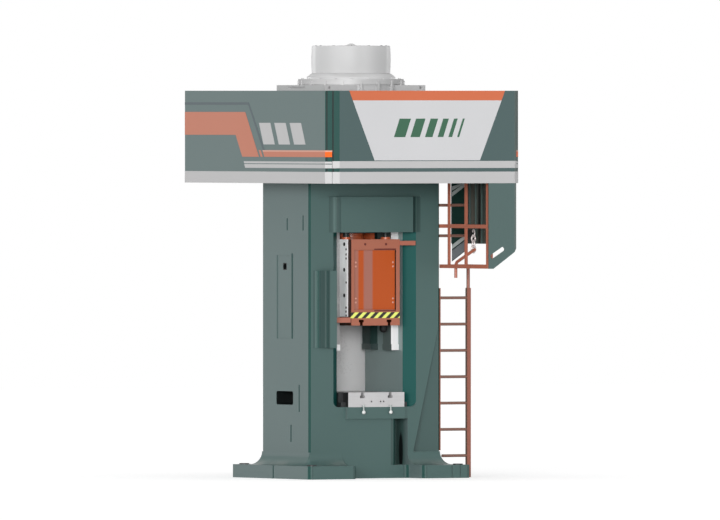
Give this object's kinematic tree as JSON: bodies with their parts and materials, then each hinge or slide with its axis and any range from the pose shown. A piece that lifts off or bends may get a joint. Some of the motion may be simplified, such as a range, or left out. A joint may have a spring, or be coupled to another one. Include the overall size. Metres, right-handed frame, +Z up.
{
  "type": "electric screw press",
  "caption": "Electric screw press with a guided slide in a window frame, direct-drive motor, service platform, ladder and landing cage.",
  "frame": {"origin": "on the floor, under the screw's axis, which is also the centre of the base flange's underside", "axes": "+Z up along the screw's axis, -Y towards the front with the parapet's sign panel, +X towards the ladder"},
  "size_m": [2.56, 3.364, 4.949],
  "materials": {
    "frame_paint": "satin grey-green paint on cast iron",
    "sheet_paint": "satin grey-green paint on sheet steel",
    "orange_paint": "satin orange paint",
    "pale_paint": "satin pale grey paint",
    "motor_paint": "satin light silver-grey paint",
    "machined_steel": "ground steel",
    "dark_steel": "dark oxide",
    "bronze": "machined bronze",
    "floor_plate": "tread plate",
    "hazard": "yellow and black diagonal stripes"
  },
  "bodies": {
    "frame": {"frame_casting": "frame_paint", "anchor_washers": "dark_steel", "rear_guard_sheet": "pale_paint", "guide_rail_front_left": "machined_steel", "guide_rail_front_right": "machined_steel", "guide_rail_rear_left": "machined_steel", "guide_rail_rear_right": "machined_steel", "guide_stops": "machined_steel", "bolster_plate": "machined_steel", "bolster_clamps": "pale_paint", "bolster_side_pads": "dark_steel", "ejector_cylinder": "dark_steel", "rod_seals": "dark_steel", "bearing_cover": "dark_steel", "thrust_bearing": "bronze", "screw_bush": "bronze", "motor_pedestal": "motor_paint", "motor_base_ring": "motor_paint", "stator_housing": "motor_paint", "stator_core": "bronze", "motor_top_cover": "motor_paint", "platform_beams": "sheet_paint", "platform_floor_front": "floor_plate", "platform_floor_rear": "floor_plate", "platform_floor_left": "floor_plate", "platform_floor_right": "floor_plate", "fascia_front": "sheet_paint", "fascia_rear": "sheet_paint", "fascia_left": "sheet_paint", "fascia_right": "sheet_paint", "base_strip": "pale_paint", "pale_bands": "pale_paint", "sign_panel": "pale_paint", "sign_cap_band": "orange_paint", "side_stripes": "orange_paint", "ladder_stile": "orange_paint", "ladder_wall_bar": "orange_paint", "ladder_rungs": "orange_paint", "cage_posts": "orange_paint", "cage_rails": "orange_paint", "cage_rungs": "orange_paint", "grab_tube": "orange_paint", "shield_front": "sheet_paint", "shield_side": "sheet_paint", "junction_box": "pale_paint"},
    "slide": {"slide_body": "orange_paint", "slide_cover_panel": "orange_paint", "hazard_strip": "hazard", "slide_bottom_plate": "orange_paint", "slide_liners": "machined_steel", "slide_nut": "bronze", "nut_ring": "orange_paint", "slide_arm_left": "orange_paint", "slide_arm_right": "orange_paint", "balance_lugs": "orange_paint", "balance_rods": "dark_steel"},
    "screw": {"main_screw": "machined_steel", "rotor": "dark_steel"},
    "ejector": {"ejector_pin": "machined_steel"}
  },
  "joints": [
    {"name": "slide_travel", "type": "slide", "parent": "frame", "child": "slide", "axis": [0, 0, -1], "range_m": [0, 0.6]},
    {"name": "screw_spin", "type": "hinge", "parent": "frame", "child": "screw", "pos_m": [0, 0, 3], "axis": [0, 0, 1], "range_deg": [0, 720]},
    {"name": "ejector_lift", "type": "slide", "parent": "frame", "child": "ejector", "axis": [0, 0, 1], "range_m": [0, 0.1]}
  ],
  "couplings": [
    {"joint": "screw_spin", "follows": "slide_travel", "rad_per_m": 20.944}
  ]
}
